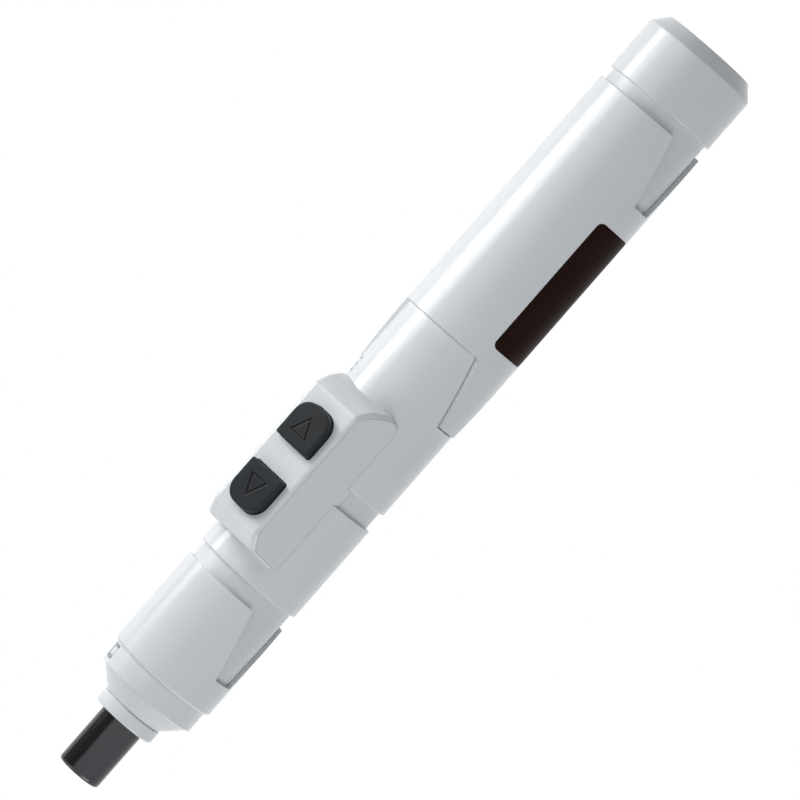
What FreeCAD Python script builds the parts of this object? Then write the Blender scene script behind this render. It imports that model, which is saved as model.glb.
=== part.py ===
import FreeCAD
import Part
import math
import os

# An electric screwdriver that stands on its tail: the spindle's axis is Z, the bit points
# up, the two buttons face -Y and the label is on the -X side. Sizes are in millimetres.

# Fits and clearances
seat_gap = 0.05
running_gap = 0.06
end_play = 0.3
overcut = 2.0
edge_round = 0.25
same_place = 0.005

# Tail cap, contact spring and battery
tail_wall = 3.5
tail_chamfer_height = 3.0
tail_chamfer_depth = 2.65
cap_height = 15.2
cap_step = 0.15
cap_spigot_length = 8.0
seal_section = 0.84
seal_drop = 2.4
contact_plate_thickness = 0.5
spring_height = 7.0
spring_wire_radius = 0.4
spring_coil_radius = 5.5
spring_turns = 4
cell_length = 65.0
cell_radius = 9.2
cell_gap = 0.3
cell_terminal_radius = 2.8
cell_terminal_height = 1.2
positive_contact_thickness = 0.4
positive_contact_dome = 0.3
positive_contact_radius = 5.0

# Rear tube and rear shell
tail_band = 2.8
rear_tube_wall = 1.0
rib_depth = 1.5
rib_count = 6
rib_width = 1.2
bulkhead_thickness = 2.2
neck_length = 7.2
tube_joint_length = 8.0
tube_joint_wall = 1.4
shell_wall = 0.95
shell_edge = 0.2

# Notches and tongues of the sleeves, turned a little off the +X and -X sides
notch_length = 15.6
notch_narrow_half = 3.3
notch_wide_half = 7.1
notch_turn = -4.0
notch_corner = 0.5
tongue_gap = 0.3

# Label plate
label_length = 32.8
label_half_width = 6.1
label_depth = 0.4
label_corner = 1.3
label_drop = 3.9

# Core tube and sleeves
core_step = 0.7
core_wall = 1.2
sleeve_wall = 0.85
middle_rear_length = 36.3
middle_gap = 4.3
middle_front_length = 22.8
front_band = 3.7
front_sleeve_length = 22.8
sleeve_chamfer = 0.55
light_count = 3
light_radius = 0.4
light_pitch = 1.5
light_angle = 43.5
light_rise = 15.2

# Nose, bush and bit holder
ring_height = 5.0
cone_height = 4.0
collar_height = 2.8
ring_step = 0.7
cone_step = 0.45
collar_wall = 0.9
nose_wall = 1.2
nose_lip = 0.6
window_height = 3.4
window_half_angle = 15.0
window_angle = 45.0
window_drop = 1.2
tab_gap = 0.8
bush_wall = 1.1
bush_length = 9.7
holder_radius = 4.9
holder_reach = 13.9
holder_edge = 0.7
hex_flats = 6.4
socket_depth = 13.0
socket_mouth = 0.5
magnet_radius = 2.6
magnet_height = 2.5
washer_thickness = 0.8
bearing_wall = 1.54
clip_thickness = 0.8
clip_depth = 0.6
clip_width = 1.3
clip_opening = 2.5
shoulder_height = 1.0
tang_width = 5.0
nose_joint_length = 4.0

# Planetary gearbox, two like stages of three planets
sun_teeth = 12
planet_teeth = 12
ring_teeth = 36
planet_count = 3
ring_gear_wall = 1.4
pressure_angle = math.radians(20.0)
tooth_reach = 0.85
ring_tooth_reach = 0.5
tooth_root = 1.2
tooth_backlash = 0.09
flank_points = 5
output_face = 4.0
first_face = 3.5
output_carrier_thickness = 3.0
first_carrier_thickness = 2.0
pin_radius = 1.0
carrier_margin = 0.5
sun_clearance = 0.5
plate_thickness = 1.6
plate_play = 0.4

# Motor
motor_can_wall = 0.9
motor_front_wall = 1.2
motor_boss_radius = 3.2
motor_boss_height = 1.4
motor_screw_circle = 6.3
motor_screw_radius = 1.0
motor_screw_head = 1.9
motor_screw_head_height = 1.0
shaft_radius = 1.0
motor_bush_radius = 2.3
motor_bush_height = 1.8
magnet_length = 20.0
magnet_thickness = 1.4
magnet_span = 130.0
magnet_setback = 3.8
air_gap = 0.35
armature_setback = 2.0
armature_slots = 5
slot_width = 1.0
slot_depth = 3.2
winding_height = 2.3
winding_inset = 0.9
winding_bore = 3.0
winding_round = 0.75
commutator_radius = 2.4
commutator_length = 3.2
commutator_gap = 1.5
bell_thickness = 3.2
bell_post_width = 4.0
bell_post_depth = 2.4
brush_width = 1.8
brush_height = 1.8
terminal_width = 2.0
terminal_thickness = 0.6
terminal_length = 2.8
terminal_place = 5.0
motor_ledge_height = 1.5
motor_ledge_depth = 1.3

# Button housing, board, switches and buttons
housing_rise = 6.3
housing_start = 19.6
housing_length = 39.5
housing_rear_slope = 4.7
housing_rear_drop = 7.6
housing_knee_back = 2.6
housing_knee_drop = 2.55
housing_front_slope = 3.2
housing_front_drop = 2.2
housing_front_draft = 1.1
housing_side_draft = math.radians(13.3)
housing_base_half = 9.35
housing_base_corner = 2.6
housing_rear_round = 8.0
housing_round_margin = 0.3
housing_sink = 6.0
housing_wall = 1.3
cover_lip = 0.6
parting_gap = 0.05
housing_edge = 1.2
board_end_margin = 1.0
cover_thickness = 1.2
button_width = 9.4
button_side_margin = 2.1
button_rear_margin = 3.3
button_front_margin = 2.0
button_spacing = 6.6
button_rise = 2.0
button_corner = 3.5
button_inner_corner = 0.5
button_edge = 0.3
button_wall = 1.1
button_roof = 1.4
button_flange = 0.6
button_flange_thickness = 0.6
button_clearance = 0.2
button_travel = 0.5
arrow_length = 4.7
arrow_width = 4.9
arrow_stroke = 0.42
arrow_base_stroke = 0.22
arrow_depth = 0.3
board_thickness = 1.0
board_lift = 0.55
board_clearance = 0.3
switch_width = 6.0
switch_gap = 0.2
switch_floor = 0.2
plunger_radius = 1.6
plunger_stand = 0.4
plunger_floor_gap = 0.2
board_screw_radius = 0.7
board_screw_head = 1.6
board_screw_head_height = 0.4
board_boss_radius = 1.7

# Driver board and leads
driver_board_thickness = 1.2
driver_chip_width = 4.0
driver_chip_height = 1.2
driver_chip_place = 3.4
lead_radius = 0.6
lead_hole_gap = 0.3
lead_bend = 3.0
lead_inset = 2.0

# Radii worked out from the sizes above, from the cell out
cell_bay = cell_radius + cell_gap
rear_tube_bore = cell_bay + rib_depth
rear_tube_radius = rear_tube_bore + rear_tube_wall
core_radius = rear_tube_radius - core_step
core_bore = core_radius - core_wall
inner_fit = core_bore - seat_gap
sleeve_bore = core_radius + seat_gap
sleeve_radius = sleeve_bore + sleeve_wall
shell_bore = rear_tube_radius + seat_gap
shell_radius = shell_bore + shell_wall
cap_radius = shell_radius - cap_step
bush_bore = holder_radius + running_gap
bush_radius = bush_bore + bush_wall
bush_seat = bush_radius + seat_gap
collar_radius = bush_seat + collar_wall
joint_bore = inner_fit - tube_joint_wall

# Heights worked out from the sizes above, from the tail up
z_contact = tail_wall
z_spring = z_contact + contact_plate_thickness
z_cell = z_spring + spring_height + seat_gap
z_cell_top = z_cell + cell_length
z_seam = z_cell_top + positive_contact_dome + positive_contact_thickness
z_shell = cap_height + tail_band
z_core = z_seam + neck_length
z_driver = z_core + tube_joint_length
z_driver_top = z_driver + driver_board_thickness
z_middle_gap = z_seam + middle_rear_length
z_middle_front = z_middle_gap + middle_gap
z_front_band = z_middle_front + middle_front_length
z_front_sleeve = z_front_band + front_band
z_nose = z_front_sleeve + front_sleeve_length
z_cone = z_nose + ring_height
z_collar = z_cone + cone_height
z_collar_top = z_collar + collar_height
z_tip = z_collar_top + holder_reach

# Heights worked out from the nose down
z_bush_top = z_collar_top - nose_lip
z_bush = z_bush_top - bush_length
z_washer = z_bush - washer_thickness
z_clip_top = z_washer - end_play
z_clip = z_clip_top - clip_thickness
z_carrier_top = z_clip - shoulder_height
z_carrier = z_carrier_top - output_carrier_thickness
z_output_top = z_carrier - end_play
z_output = z_output_top - output_face
z_first_carrier_top = z_output - end_play
z_first_carrier = z_first_carrier_top - first_carrier_thickness
z_first_top = z_first_carrier - end_play
z_first = z_first_top - first_face
z_plate_top = z_first - plate_play
z_motor_top = z_plate_top - plate_thickness
z_magnet_top = z_motor_top - motor_front_wall - magnet_setback
z_magnet = z_magnet_top - magnet_length
z_armature_top = z_magnet_top - armature_setback
z_armature = z_magnet + armature_setback
z_commutator = z_armature - winding_height - commutator_length
z_bell_top = z_commutator - commutator_gap
z_motor = z_bell_top - bell_thickness
z_ring_gear_top = z_nose - nose_joint_length

# Gear sizes worked out from the room in the core tube
module = (inner_fit - ring_gear_wall) / (ring_teeth / 2 + tooth_root)
sun_pitch_radius = module * sun_teeth / 2
planet_pitch_radius = module * planet_teeth / 2
ring_pitch_radius = module * ring_teeth / 2
planet_orbit = sun_pitch_radius + planet_pitch_radius
carrier_radius = ring_pitch_radius - module * ring_tooth_reach - carrier_margin

# Heights above the axis in the button housing, along -Y
h_top = sleeve_radius + housing_rise
h_board = sleeve_radius + board_lift
h_board_top = h_board + board_thickness
h_cover_under = h_top - cover_thickness
h_flange_top = h_cover_under - board_clearance / 2
h_flange = h_flange_top - button_flange_thickness
h_switch_top = h_flange - button_travel - switch_gap
h_switch_well = h_board_top + switch_floor
h_plunger = h_switch_well + plunger_floor_gap + button_travel
h_plunger_top = h_switch_top + plunger_stand
h_button_top = h_top + button_rise
housing_top_half = button_width / 2 + button_side_margin
z_housing = z_seam + housing_start
z_housing_top = z_housing + housing_rear_slope
z_housing_front = z_housing + housing_length - housing_front_draft - housing_front_slope
button_room = z_housing_front - z_housing_top - button_rear_margin - button_front_margin
button_length = (button_room - button_spacing) / 2
z_reverse = z_housing_top + button_rear_margin
z_forward = z_reverse + button_length + button_spacing
z_board_screw = z_forward - button_spacing / 2
z_board = z_housing_top + board_end_margin
z_board_top = z_forward + button_length + board_end_margin
z_switch_lead = z_board + lead_inset

Vector = FreeCAD.Vector
ORIGIN = Vector(0, 0, 0)
UP = Vector(0, 0, 1)
OUT = Vector(0, -1, 0)
SIDE = Vector(1, 0, 0)


def rod(radius, bottom, top, x=0.0, y=0.0):
    return Part.makeCylinder(radius, top - bottom, Vector(x, y, bottom))


def tube(outer, inner, bottom, top):
    return rod(outer, bottom, top).cut(rod(inner, bottom - overcut, top + overcut))


def turned(points):
    # A solid of revolution about Z from the corners (radius, height) of its section
    corners = [Vector(radius, 0, height) for radius, height in points]
    section = Part.Face(Part.makePolygon(corners + corners[:1]))
    return section.revolve(ORIGIN, UP, 360)


def post(radius, low, high, height):
    # A round post that stands out along -Y from low to high above the axis
    return Part.makeCylinder(radius, high - low, Vector(0, -low, height), OUT)


def block(x_range, y_range, z_range):
    size = [high - low for low, high in (x_range, y_range, z_range)]
    return Part.makeBox(*size, Vector(x_range[0], y_range[0], z_range[0]))


def rounded_outline(points, radii, place):
    # A closed wire through 2-D corners, each rounded by its own radius, put in space by place
    edges = []
    spans = []
    for index, corner in enumerate(points):
        before = points[index - 1]
        after = points[(index + 1) % len(points)]
        here = Vector(corner[0], corner[1], 0)
        back = (Vector(before[0], before[1], 0) - here).normalize()
        ahead = (Vector(after[0], after[1], 0) - here).normalize()
        half_turn = back.getAngle(ahead) / 2
        reach = radii[index] / math.tan(half_turn)
        middle = (back + ahead).normalize()
        depth = radii[index] / math.sin(half_turn) - radii[index]
        spans.append((here + back * reach, here + middle * depth, here + ahead * reach))
    for index, (start, middle, end) in enumerate(spans):
        following = spans[(index + 1) % len(spans)][0]
        if radii[index] > 0:
            arc = Part.Arc(*[place(p.x, p.y) for p in (start, middle, end)])
            edges.append(arc.toShape())
        if (following - end).Length > same_place:
            edges.append(Part.LineSegment(place(end.x, end.y), place(following.x, following.y)).toShape())
    return Part.Wire(edges)


def prism(points, radii, place, direction):
    return Part.Face(rounded_outline(points, radii, place)).extrude(direction)


def round_rims(solid, radius, rims):
    # Rounds the circular edges at the given (radius, height) places
    chosen = []
    for edge in solid.Edges:
        curve = edge.Curve
        if isinstance(curve, Part.Circle):
            for rim_radius, height in rims:
                near_radius = abs(curve.Radius - rim_radius) < same_place
                near_height = abs(curve.Center.z - height) < same_place
                if near_radius and near_height:
                    chosen.append(edge)
    return solid.makeFillet(radius, chosen)


def around(shape, count):
    # Copies of a shape evenly spaced about the axis
    copies = []
    for index in range(count):
        copy = shape.copy()
        copy.rotate(ORIGIN, UP, index * 360.0 / count)
        copies.append(copy)
    return copies


def turned_to(shape, degrees):
    # A copy turned about the axis, anticlockwise as seen from the tip
    copy = shape.copy()
    copy.rotate(ORIGIN, UP, degrees)
    return copy


def save(name, *solids):
    shape = solids[0] if len(solids) == 1 else Part.makeCompound(solids)
    shape.exportStep("parts/" + name + ".step")


# Gear teeth

def tooth_half_angle(teeth, radius, thickness_change):
    pitch_radius = module * teeth / 2
    base_radius = pitch_radius * math.cos(pressure_angle)
    at_radius = math.acos(min(1.0, base_radius / radius))
    pitch_half = (math.pi * module / 2 + thickness_change) / (2 * pitch_radius)
    at_pitch = math.tan(pressure_angle) - pressure_angle
    return pitch_half + at_pitch - (math.tan(at_radius) - at_radius)


def gear_prism(teeth, tip, root, thickness_change, first_angle, bottom, top):
    # A toothed prism about Z with involute flanks, a tooth standing at first_angle
    base_radius = module * teeth / 2 * math.cos(pressure_angle)
    flank_foot = max(base_radius, root)
    steps = [flank_foot + (tip - flank_foot) * i / (flank_points - 1) for i in range(flank_points)]
    half_angles = [tooth_half_angle(teeth, radius, thickness_change) for radius in steps]

    def at(radius, angle):
        return Vector(radius * math.cos(angle), radius * math.sin(angle), bottom)

    def flank(points):
        curve = Part.BSplineCurve()
        curve.interpolate(points)
        return curve.toShape()

    edges = []
    pitch = 2 * math.pi / teeth
    foot_half = half_angles[0]
    for index in range(teeth):
        centre = first_angle + index * pitch
        rising = [at(r, centre - h) for r, h in zip(steps, half_angles)]
        falling = [at(r, centre + h) for r, h in zip(steps, half_angles)][::-1]
        foot_start = at(root, centre - foot_half)
        foot_end = at(root, centre + foot_half)
        next_start = at(root, centre + pitch - foot_half)
        if flank_foot > root:
            edges.append(Part.LineSegment(foot_start, rising[0]).toShape())
        edges.append(flank(rising))
        edges.append(Part.Arc(rising[-1], at(tip, centre), falling[0]).toShape())
        edges.append(flank(falling))
        if flank_foot > root:
            edges.append(Part.LineSegment(falling[-1], foot_end).toShape())
        edges.append(Part.Arc(foot_end, at(root, centre + pitch / 2), next_start).toShape())
    return Part.Face(Part.Wire(edges)).extrude(UP * (top - bottom))


def pinion_prism(teeth, first_angle, bottom, top):
    pitch_radius = module * teeth / 2
    tip = pitch_radius + module * tooth_reach
    root = pitch_radius - module * tooth_root
    return gear_prism(teeth, tip, root, -tooth_backlash, first_angle, bottom, top)


def planet_places():
    return [math.pi / 2 + 2 * math.pi * index / planet_count for index in range(planet_count)]


def make_planets(stage, bottom, top):
    bore = rod(pin_radius + running_gap, bottom - overcut, top + overcut)
    for index, angle in enumerate(planet_places()):
        planet = pinion_prism(planet_teeth, angle, bottom, top).cut(bore)
        planet.translate(Vector(math.cos(angle), math.sin(angle), 0) * planet_orbit)
        save(stage + "_planet_" + "abc"[index], planet)


def planet_pins(bottom, top):
    places = [(math.cos(a) * planet_orbit, math.sin(a) * planet_orbit) for a in planet_places()]
    return [rod(pin_radius, bottom, top, x, y) for x, y in places]


def sun_prism(bottom, top):
    # A tooth space of the sun faces each planet's tooth
    half_pitch = math.pi / sun_teeth
    return pinion_prism(sun_teeth, planet_places()[0] + half_pitch, bottom, top)


# Notches and tongues

def side_trapezoid(bottom, grow, depth_range):
    # The trapezoid shared by notches and tongues, wide end down, near the +X side
    low = bottom - overcut
    slope = (notch_wide_half - notch_narrow_half) / notch_length
    wide = notch_wide_half + slope * overcut + grow
    narrow = notch_narrow_half + grow
    high = bottom + notch_length + grow
    corners = [(-wide, low), (wide, low), (narrow, high), (-narrow, high)]
    near, far = depth_range
    radii = [0, 0, notch_corner, notch_corner]
    outline = prism(corners, radii, lambda y, z: Vector(near, y, z), SIDE * (far - near))
    return turned_to(outline, notch_turn)


def both_sides(shape):
    return [shape, turned_to(shape, 180)]


# Tail cap, seal, spring and contacts

def make_tail_cap():
    end_radius = cap_radius - tail_chamfer_depth
    spigot_radius = rear_tube_bore - running_gap
    spigot_top = cap_height + cap_spigot_length
    cap = turned([
        (0, 0), (end_radius, 0), (cap_radius, tail_chamfer_height), (cap_radius, cap_height),
        (spigot_radius, cap_height), (spigot_radius, spigot_top), (cell_bay, spigot_top),
        (cell_bay, tail_wall), (0, tail_wall),
    ])
    cap = round_rims(cap, edge_round, [(cap_radius, cap_height)])
    cap = round_rims(cap, 2 * edge_round, [(cap_radius, tail_chamfer_height), (end_radius, 0)])
    seal_outer = rear_tube_bore - running_gap / 2
    seal_middle = seal_outer - seal_section / 2
    seal_height = spigot_top - seal_drop
    groove_floor = seal_outer - seal_section - seat_gap
    half_groove = seal_section / 2 + seat_gap
    groove = tube(rear_tube_radius, groove_floor, seal_height - half_groove, seal_height + half_groove)
    save("tail_cap", cap.cut(groove))
    save("cap_seal", Part.makeTorus(seal_middle, seal_section / 2, Vector(0, 0, seal_height)))
    plate_radius = cell_bay - seat_gap
    save("contact_plate", rod(plate_radius, z_contact, z_spring))


def make_contact_spring():
    # Quarter-turn arcs climb evenly between the plate and the cell
    low = z_spring + spring_wire_radius
    climb = spring_height - 2 * spring_wire_radius
    quarter_count = spring_turns * 4
    edges = []

    def on_coil(quarters):
        angle = quarters * math.pi / 2
        height = low + climb * quarters / quarter_count
        return Vector(spring_coil_radius * math.cos(angle), spring_coil_radius * math.sin(angle), height)

    for quarter in range(quarter_count):
        arc = Part.Arc(on_coil(quarter), on_coil(quarter + 0.5), on_coil(quarter + 1))
        edges.append(arc.toShape())
    path = Part.Wire(edges)
    start = edges[0]
    tangent = start.tangentAt(start.FirstParameter)
    section = Part.Wire(Part.Circle(on_coil(0), tangent, spring_wire_radius).toShape())
    coil = path.makePipeShell([section], True, False)
    wanted = path.Length * math.pi * spring_wire_radius ** 2
    turn_gap = climb / spring_turns - 2 * spring_wire_radius
    print("contact spring volume", round(coil.Volume, 2), "of", round(wanted, 2))
    print("contact spring turn gap", round(turn_gap, 2))
    save("contact_spring", coil)


def make_cell():
    shoulder = z_cell_top - cell_terminal_height
    can = rod(cell_radius, z_cell, shoulder)
    can = round_rims(can, 2 * edge_round, [(cell_radius, z_cell), (cell_radius, shoulder)])
    save("battery_cell", can)
    save("cell_terminal", rod(cell_terminal_radius, shoulder, z_cell_top))
    plate = rod(positive_contact_radius, z_seam - positive_contact_thickness, z_seam)
    dome = rod(cell_terminal_radius, z_cell_top, z_seam - positive_contact_thickness)
    save("positive_contact", plate.fuse(dome).removeSplitter())


# Rear tube, rear shell and label

def make_rear_tube():
    grip = tube(rear_tube_radius, rear_tube_bore, cap_height, z_seam)
    bulkhead = rod(core_radius, z_seam, z_seam + bulkhead_thickness)
    rim = tube(rear_tube_radius, cell_bay, z_seam - positive_contact_thickness, z_seam)
    neck = tube(core_radius, joint_bore, z_seam, z_core)
    joint = tube(inner_fit, joint_bore, z_core - seat_gap, z_driver)
    rib_bottom = cap_height + cap_spigot_length + end_play
    rib = block(
        (-rib_width / 2, rib_width / 2),
        (-rear_tube_bore - rear_tube_wall / 2, -cell_bay),
        (rib_bottom, z_seam - positive_contact_thickness / 2),
    )
    ribs = around(rib, rib_count)
    solid = grip.multiFuse([bulkhead, rim, neck, joint] + ribs)
    lead_way = rod(lead_radius + lead_hole_gap, z_seam - overcut, z_driver, 0, 0)
    solid = solid.cut(rod(cell_bay, rib_bottom, z_seam)).cut(lead_way)
    save("rear_tube", solid.removeSplitter())


def label_prism(grow, inner_radius, outer_radius):
    high = z_seam - label_drop + grow
    low = z_seam - label_drop - label_length - grow
    half = label_half_width + grow
    corners = [(-half, low), (half, low), (half, high), (-half, high)]
    radii = [label_corner + grow] * len(corners)
    outline = prism(corners, radii, lambda y, z: Vector(0, y, z), SIDE * -(shell_radius + overcut))
    return outline.common(tube(outer_radius, inner_radius, low - overcut, high + overcut))


def make_rear_shell():
    shell = tube(shell_radius, shell_bore, z_shell, z_seam)
    shell = round_rims(shell, shell_edge, [(shell_radius, z_shell)])
    notches = both_sides(side_trapezoid(z_shell, 0, (0, shell_radius + overcut)))
    shell = shell.cut(notches[0]).cut(notches[1])
    tongue = side_trapezoid(z_seam, -tongue_gap, (0, shell_radius + overcut))
    tongue = tongue.common(tube(shell_radius, sleeve_bore, z_seam, z_seam + notch_length))
    shell = shell.multiFuse(both_sides(tongue)).removeSplitter()
    floor = shell_radius - label_depth
    shell = shell.cut(label_prism(seat_gap, floor, shell_radius + overcut))
    save("rear_shell", shell)
    save("label_plate", label_prism(0, floor + seat_gap, shell_radius))


# Core tube, sleeves and charge lights

def lead_hole():
    start = Vector(0, 0, z_switch_lead)
    return Part.makeCylinder(lead_radius + lead_hole_gap, h_board, start, OUT)


def make_core_tube():
    core = tube(core_radius, core_bore, z_core, z_nose)
    ledge_bore = core_bore - motor_ledge_depth
    ledge = tube(core_bore + core_wall / 2, ledge_bore, z_motor - motor_ledge_height, z_motor)
    save("core_tube", core.fuse(ledge).cut(lead_hole()).removeSplitter())


def sleeve(bottom, top, edges):
    body = tube(sleeve_radius, sleeve_bore, bottom, top)
    return round_rims(body, edge_round, [(sleeve_radius, height) for height in edges])


def charge_lights(radius, inner, outer):
    lights = []
    for index in range(light_count):
        height = z_seam + light_rise + index * light_pitch
        pipe = Part.makeCylinder(radius, outer, Vector(0, 0, height), OUT)
        pipe = pipe.common(tube(outer, inner, height - overcut, height + overcut))
        lights.append(turned_to(pipe, light_angle))
    return lights


def make_sleeves():
    front = tube(sleeve_radius, sleeve_bore, z_front_sleeve, z_nose)
    rims = [edge for edge in front.Edges if isinstance(edge.Curve, Part.Circle)]
    top_rim = [edge for edge in rims if edge.Curve.Radius > core_radius + sleeve_wall / 2]
    top_rim = [edge for edge in top_rim if edge.Curve.Center.z > z_front_sleeve + overcut]
    front = front.makeChamfer(sleeve_chamfer, top_rim)
    front = round_rims(front, edge_round, [(sleeve_radius, z_front_sleeve)])
    for notch in both_sides(side_trapezoid(z_front_sleeve, 0, (0, shell_radius))):
        front = front.cut(notch)
    save("front_sleeve", front)
    save("middle_front_sleeve", sleeve(z_middle_front, z_front_band, [z_middle_front, z_front_band]))
    rear = sleeve(z_seam, z_middle_gap, [z_seam, z_middle_gap])
    for notch in both_sides(side_trapezoid(z_seam, 0, (0, shell_radius + overcut))):
        rear = rear.cut(notch)
    for light in charge_lights(light_radius + seat_gap, core_radius, shell_radius):
        rear = rear.cut(light)
    save("middle_rear_sleeve", rear.cut(lead_hole()))
    save("charge_lights", *charge_lights(light_radius, sleeve_bore, sleeve_radius))


# Nose, bush and bit holder

def nose_windows(inner, outer, trim):
    # The snap windows in the nose ring, or the tabs in them when trimmed
    top = z_cone - window_drop - trim
    bottom = z_cone - window_drop - window_height + trim
    trim_angle = math.degrees(trim / core_radius)
    half = window_half_angle - trim_angle
    windows = []
    for side in (0, 180):
        wedge = Part.makeCylinder(outer, top - bottom, Vector(0, 0, bottom), UP, 2 * half)
        wedge = wedge.cut(rod(inner, bottom - overcut, top + overcut))
        wedge.rotate(ORIGIN, UP, -90 - half + window_angle + side)
        windows.append(wedge)
    return windows


def make_nose():
    ring_inner = inner_fit + seat_gap
    ring_rim = core_radius - ring_step
    cap = turned([
        (holder_radius + end_play, z_bush_top), (bush_seat, z_bush_top),
        (bush_seat, z_cone - nose_wall), (ring_inner, z_cone - nose_wall), (ring_inner, z_nose),
        (core_radius, z_nose), (core_radius, z_cone - ring_step / 2), (ring_rim, z_cone),
        (collar_radius - cone_step, z_collar), (collar_radius, z_collar),
        (collar_radius, z_collar_top), (holder_radius + end_play, z_collar_top),
    ])
    cap = round_rims(cap, 2 * edge_round, [(collar_radius, z_collar_top)])
    cap = round_rims(cap, edge_round / 2, [(collar_radius, z_collar), (core_radius, z_nose)])
    for window in nose_windows(core_bore - seat_gap, core_radius + overcut, 0):
        cap = cap.cut(window)
    save("nose_cap", cap)
    carrier_bottom = z_ring_gear_top
    carrier_top = z_cone - nose_wall
    cavity = inner_fit - bearing_wall
    body = turned([
        (inner_fit, carrier_bottom), (inner_fit, carrier_top), (bush_seat, carrier_top),
        (bush_seat, z_bush), (cavity, z_bush), (cavity, carrier_bottom),
    ])
    tabs = nose_windows(inner_fit - nose_wall / 2, core_radius - edge_round, tab_gap)
    save("bearing_carrier", body.multiFuse(tabs).removeSplitter())
    bush = tube(bush_radius, bush_bore, z_bush, z_bush_top)
    save("spindle_bush", bush)
    washer_bore = holder_radius + end_play
    save("thrust_washer", tube(cavity - seat_gap, washer_bore, z_washer, z_bush))


def hexagon(flats, bottom, top):
    corner_radius = flats / 2 / math.cos(math.pi / 6)
    corners = []
    for index in range(6):
        angle = index * math.pi / 3
        corners.append(Vector(corner_radius * math.cos(angle), corner_radius * math.sin(angle), bottom))
    return Part.Face(Part.makePolygon(corners + corners[:1])).extrude(UP * (top - bottom))


def make_bit_holder():
    shank = rod(holder_radius, z_carrier_top, z_tip)
    shank = round_rims(shank, holder_edge, [(holder_radius, z_tip)])
    half = tang_width / 2
    tang = block((-half, half), (-half, half), (z_carrier, z_carrier_top))
    socket_floor = z_tip - socket_depth
    mouth_radius = hex_flats / 2 / math.cos(math.pi / 6) + seat_gap
    mouth_foot = Vector(0, 0, z_tip - socket_mouth)
    mouth = Part.makeCone(mouth_radius - socket_mouth, mouth_radius, socket_mouth, mouth_foot)
    groove = tube(holder_radius + overcut, holder_radius - clip_depth, z_clip, z_clip_top)
    magnet_floor = socket_floor - magnet_height
    holder = shank.fuse(tang).removeSplitter()
    holder = holder.cut(hexagon(hex_flats, socket_floor, z_tip + overcut))
    holder = holder.cut(rod(magnet_radius + seat_gap, magnet_floor, socket_floor + seat_gap))
    save("bit_holder", holder.cut(mouth).cut(groove))
    save("bit_magnet", rod(magnet_radius, magnet_floor, socket_floor))
    clip_inner = holder_radius - clip_depth + seat_gap
    clip = tube(clip_inner + clip_width, clip_inner, z_clip + seat_gap, z_clip_top - seat_gap)
    opening = block((-clip_opening / 2, clip_opening / 2), (0, core_radius), (z_clip, z_clip_top))
    save("spindle_circlip", clip.cut(opening))


# Gearbox

def make_gearbox():
    half = tang_width / 2 + seat_gap
    tang_hole = block((-half, half), (-half, half), (z_carrier - overcut, z_carrier_top + overcut))
    output_pins = planet_pins(z_output, z_carrier_top)
    carrier = rod(carrier_radius, z_carrier, z_carrier_top).cut(tang_hole)
    first_pins = planet_pins(z_first, z_first_carrier_top)
    plate = rod(carrier_radius, z_first_carrier, z_first_carrier_top)
    for pin in output_pins:
        carrier = carrier.cut(pin)
    for pin in first_pins:
        plate = plate.cut(pin)
    save("output_carrier", carrier)
    save("output_pins", *output_pins)
    make_planets("output", z_output, z_output_top)
    sun = sun_prism(z_first_carrier_top, z_carrier - sun_clearance)
    save("first_carrier", plate.fuse(sun).removeSplitter())
    save("first_pins", *first_pins)
    make_planets("first", z_first, z_first_top)
    pinion = sun_prism(z_plate_top + plate_play, z_first_carrier - end_play)
    bore = rod(shaft_radius, z_plate_top, z_first_carrier)
    save("motor_pinion", pinion.cut(bore))
    teeth_root = ring_pitch_radius + module * tooth_root
    teeth_tip = ring_pitch_radius - module * ring_tooth_reach
    low, high = z_plate_top, z_ring_gear_top
    spaces = gear_prism(ring_teeth, teeth_root, teeth_tip, tooth_backlash, planet_places()[0], low, high)
    save("ring_gear", rod(inner_fit, low, high).cut(spaces))


def motor_screw(grow, bottom):
    head_bottom = z_plate_top - motor_screw_head_height
    screws = []
    for x in (-motor_screw_circle, motor_screw_circle):
        thread_radius = motor_screw_radius + grow
        thread = rod(thread_radius, bottom, z_plate_top, x)
        head_place = Vector(x, 0, head_bottom)
        head = Part.makeCone(thread_radius, motor_screw_head + grow, motor_screw_head_height, head_place)
        screws.append(thread.fuse(head).removeSplitter())
    return screws


def make_plate():
    plate = tube(inner_fit, motor_boss_radius + seat_gap, z_motor_top, z_plate_top)
    for hole in motor_screw(seat_gap, z_motor_top - overcut):
        plate = plate.cut(hole)
    save("gearbox_plate", plate)
    save("motor_screws", *motor_screw(0, z_motor_top - motor_front_wall))


# Motor

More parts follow.
